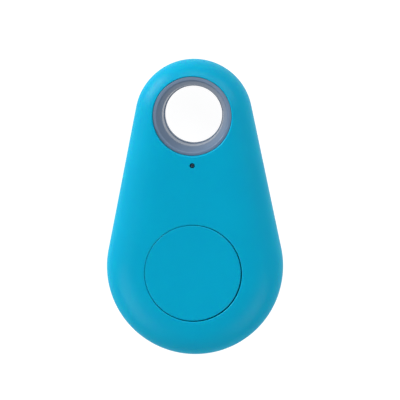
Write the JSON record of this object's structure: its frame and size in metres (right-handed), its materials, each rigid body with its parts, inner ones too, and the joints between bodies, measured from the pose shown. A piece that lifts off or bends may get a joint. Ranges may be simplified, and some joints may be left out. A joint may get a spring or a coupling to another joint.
{
  "type": "bluetooth tracker tag",
  "caption": "Teardrop key-ring tracker tag: two-part satin plastic case, grey-lined ring hole, flush round push button, indicator window, and circuit board, sounder and coin cell inside.",
  "frame": {"origin": "middle of the tag's length and width, on the flat of its back, where it rests", "axes": "+Z out of the front face with the button, +Y towards the key-ring end, +X to the right of someone who looks at the front with the ring end up"},
  "size_m": [0.031, 0.052, 0.011],
  "materials": {
    "case_blue": "satin",
    "liner_grey": "gloss",
    "smoked_window": "gloss",
    "board_green": "solder mask",
    "black_plastic": "matte",
    "nickel_steel": "satin",
    "copper": "lacquered",
    "chip_ceramic": "matte",
    "led_white": "gloss"
  },
  "bodies": {
    "rear": {"rear_shell": "case_blue"},
    "button": {"button_cap": "case_blue"},
    "plunger": {"switch_plunger": "black_plastic"},
    "front": {"antenna_capacitor_1": "chip_ceramic", "antenna_capacitor_2": "chip_ceramic", "antenna_trace": "copper", "board_screw_1": "nickel_steel", "board_screw_2": "nickel_steel", "board_screw_3": "nickel_steel", "buzzer_base": "nickel_steel", "buzzer_case": "black_plastic", "buzzer_coil": "copper", "buzzer_core": "nickel_steel", "buzzer_diaphragm": "nickel_steel", "buzzer_magnet": "black_plastic", "cell_can": "nickel_steel", "cell_cap": "nickel_steel", "cell_holder": "black_plastic", "cell_seal": "black_plastic", "circuit_board": "board_green", "clock_crystal": "nickel_steel", "crystal_capacitor_1": "chip_ceramic", "crystal_capacitor_2": "chip_ceramic", "driver_resistor": "black_plastic", "driver_transistor": "black_plastic", "flyback_diode": "black_plastic", "front_shell": "case_blue", "key_hole_liner": "liner_grey", "led_base": "led_white", "led_lens": "led_white", "led_resistor": "black_plastic", "light_pipe": "smoked_window", "negative_contact": "nickel_steel", "positive_strap": "nickel_steel", "pull_up_resistor": "black_plastic", "radio_chip": "black_plastic", "radio_crystal": "nickel_steel", "supply_capacitor_1": "chip_ceramic", "supply_capacitor_2": "chip_ceramic", "supply_inductor": "chip_ceramic", "switch_base": "black_plastic", "switch_cover": "nickel_steel", "switch_dome": "nickel_steel"}
  },
  "joints": [
    {"name": "case_open", "type": "slide", "parent": "rear", "child": "front", "axis": [0, 0, 1], "range_m": [0, 0.025]},
    {"name": "button_press", "type": "slide", "parent": "front", "child": "button", "axis": [0, 0, -1], "range_m": [0, 0.0003], "stiffness_N_per_m": 4000, "springref_m": -0.00005, "deforming": ["switch_dome"]},
    {"name": "plunger_press", "type": "slide", "parent": "front", "child": "plunger", "axis": [0, 0, -1], "range_m": [0, 0.0003]}
  ],
  "couplings": [
    {"joint": "plunger_press", "follows": "button_press", "ratio": 1}
  ]
}
